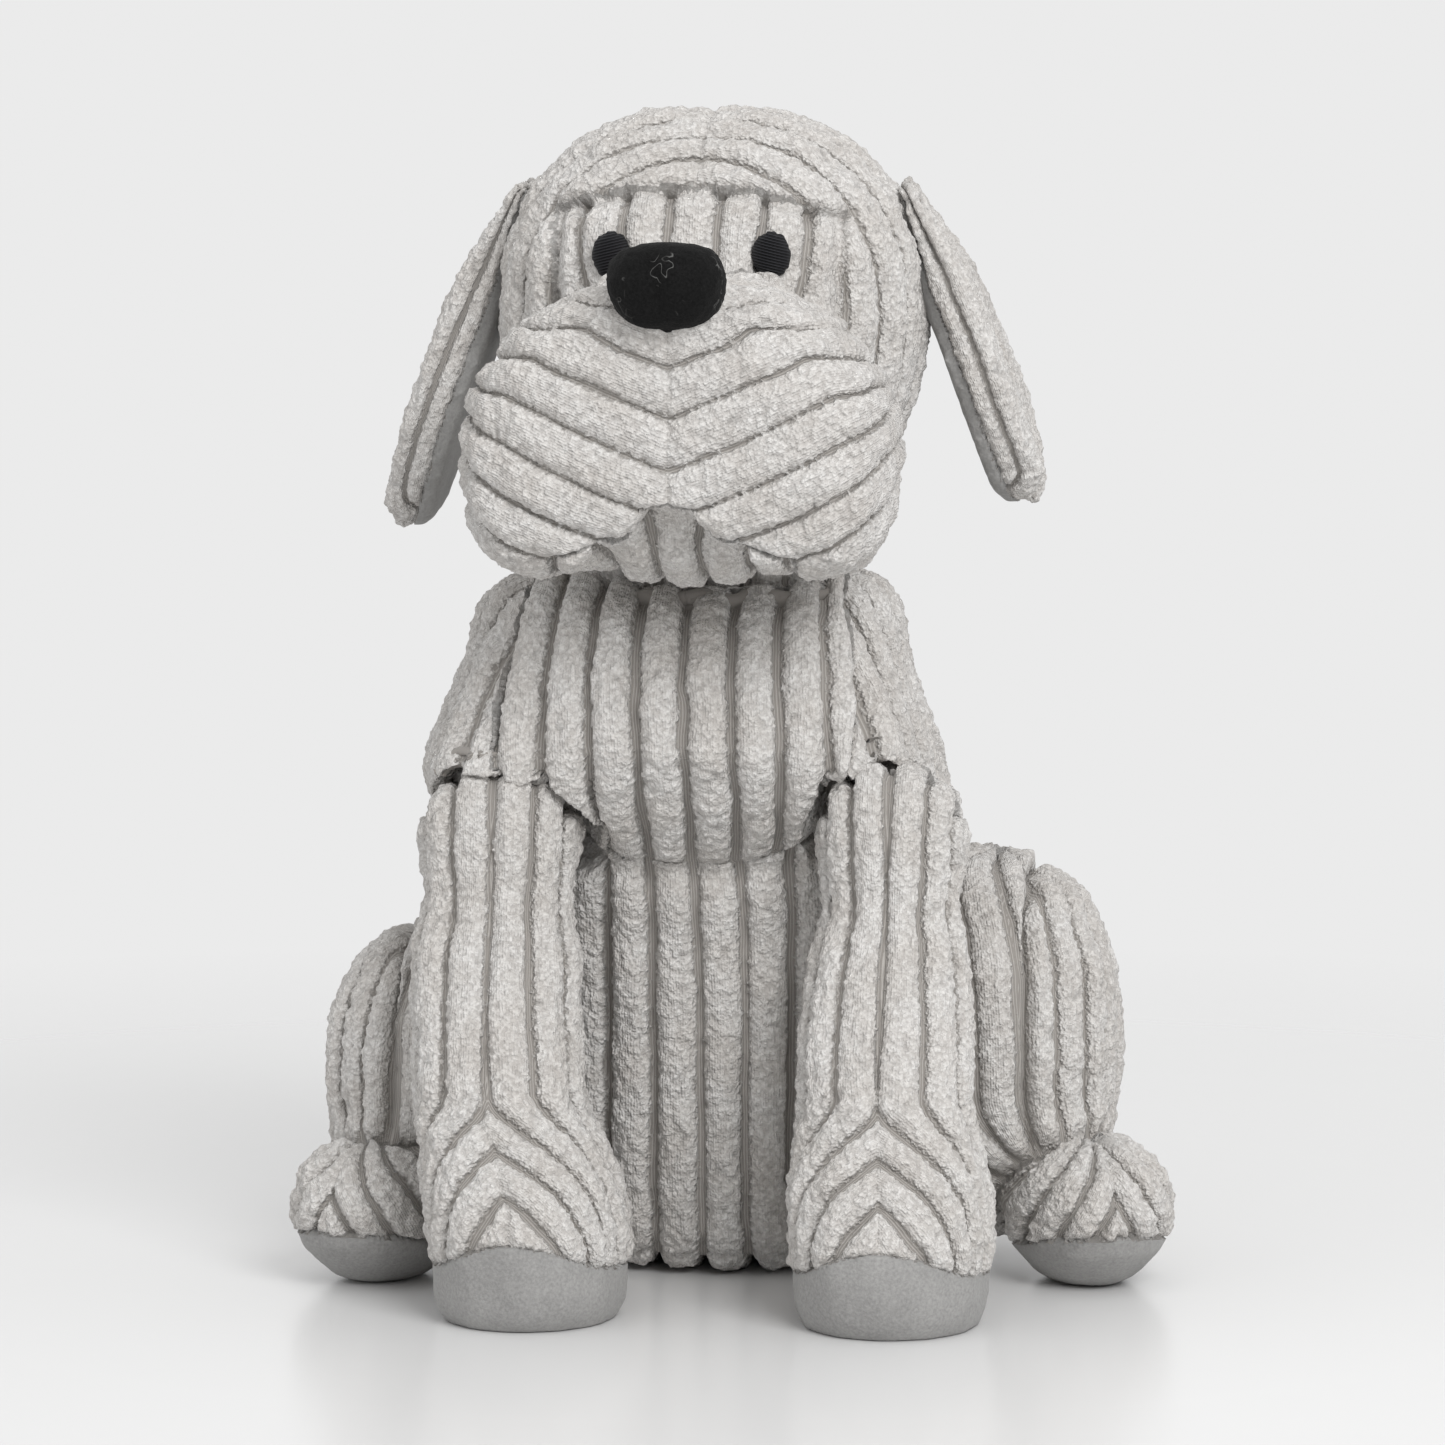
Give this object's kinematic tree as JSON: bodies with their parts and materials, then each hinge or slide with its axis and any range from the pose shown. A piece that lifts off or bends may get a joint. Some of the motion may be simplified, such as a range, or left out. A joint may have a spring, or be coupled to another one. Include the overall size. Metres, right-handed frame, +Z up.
{
  "type": "sitting plush dog",
  "caption": "Sitting soft toy dog sewn from wide-wale cord plush, with lined ears that hang at the sides of the head, a squared muzzle, a velour nose and suede soles",
  "frame": {"origin": "centre of the flat seat, on the surface that the dog sits on and in its middle plane", "axes": "+Z up, the dog faces -Y, and its left side is at +X"},
  "size_m": [0.2212, 0.2141, 0.289],
  "materials": {
    "cord": "wide-wale cord with deep looped pile, light warm grey",
    "suede": "flat brushed suede cloth, mid grey",
    "velour": "short black velour",
    "thread": "black satin stitch embroidery",
    "stuffing": "white hollow fibre filling",
    "calico": "plain woven cotton bag",
    "pellets": "loose plastic pellets"
  },
  "bodies": {
    "torso": {"chest_panel": "cord", "belly_panel": "cord", "left_side_panel": "cord", "right_side_panel": "cord", "seat_panel": "cord", "weight_bag_top": "calico", "weight_bag_bottom": "calico", "weight_pellets": "pellets", "torso_stuffing": "stuffing"},
    "neck": {"neck_stuffing": "stuffing", "neck_seam_roll": "cord"},
    "head": {"left_crown_panel": "cord", "right_crown_panel": "cord", "face_panel": "cord", "left_muzzle_panel": "cord", "right_muzzle_panel": "cord", "chin_panel": "cord", "head_stuffing": "stuffing", "nose": "velour", "left_eye": "thread", "right_eye": "thread"},
    "left_ear": {"left_ear_cord": "cord", "left_ear_lining": "suede"},
    "right_ear": {"right_ear_cord": "cord", "right_ear_lining": "suede"},
    "left_front_leg": {"left_front_leg_outer_panel": "cord", "left_front_leg_inner_panel": "cord", "left_front_sole": "suede", "left_front_leg_stuffing": "stuffing"},
    "right_front_leg": {"right_front_leg_outer_panel": "cord", "right_front_leg_inner_panel": "cord", "right_front_sole": "suede", "right_front_leg_stuffing": "stuffing"},
    "left_hind_leg": {"left_haunch_outer_panel": "cord", "left_haunch_inner_panel": "cord", "left_foot_outer_panel": "cord", "left_foot_inner_panel": "cord", "left_hind_sole": "suede", "left_hind_leg_stuffing": "stuffing"},
    "right_hind_leg": {"right_haunch_outer_panel": "cord", "right_haunch_inner_panel": "cord", "right_foot_outer_panel": "cord", "right_foot_inner_panel": "cord", "right_hind_sole": "suede", "right_hind_leg_stuffing": "stuffing"},
    "tail": {"tail_left_panel": "cord", "tail_right_panel": "cord", "tail_stuffing": "stuffing"}
  },
  "joints": [
    {"name": "head_turn", "type": "hinge", "parent": "torso", "child": "neck", "pos_m": [0, -0.03, 0.1735], "axis": [0, 0, 1], "range_deg": [-30, 30]},
    {"name": "head_nod", "type": "hinge", "parent": "neck", "child": "head", "pos_m": [0, -0.03, 0.1735], "axis": [1, 0, 0], "range_deg": [-15, 6]},
    {"name": "left_ear_lift", "type": "hinge", "parent": "head", "child": "left_ear", "pos_m": [0.0449, -0.03, 0.269], "axis": [0.342, -0.9397, 0], "range_deg": [0, 80]},
    {"name": "right_ear_lift", "type": "hinge", "parent": "head", "child": "right_ear", "pos_m": [-0.0449, -0.03, 0.269], "axis": [0.342, 0.9397, 0], "range_deg": [0, 80]},
    {"name": "left_front_leg_lift", "type": "hinge", "parent": "torso", "child": "left_front_leg", "pos_m": [0.047, -0.06, 0.112], "axis": [-1, 0, 0], "range_deg": [0, 36]},
    {"name": "right_front_leg_lift", "type": "hinge", "parent": "torso", "child": "right_front_leg", "pos_m": [-0.047, -0.06, 0.112], "axis": [-1, 0, 0], "range_deg": [0, 36]},
    {"name": "left_hind_leg_lift", "type": "hinge", "parent": "torso", "child": "left_hind_leg", "pos_m": [0.062, -0.002, 0.055], "axis": [-1, 0, 0], "range_deg": [0, 24]},
    {"name": "right_hind_leg_lift", "type": "hinge", "parent": "torso", "child": "right_hind_leg", "pos_m": [-0.062, -0.018, 0.047], "axis": [-1, 0, 0], "range_deg": [0, 24]},
    {"name": "tail_wag", "type": "hinge", "parent": "torso", "child": "tail", "pos_m": [0, 0.051, 0.042], "axis": [0, 0, 1], "range_deg": [-30, 30]}
  ]
}
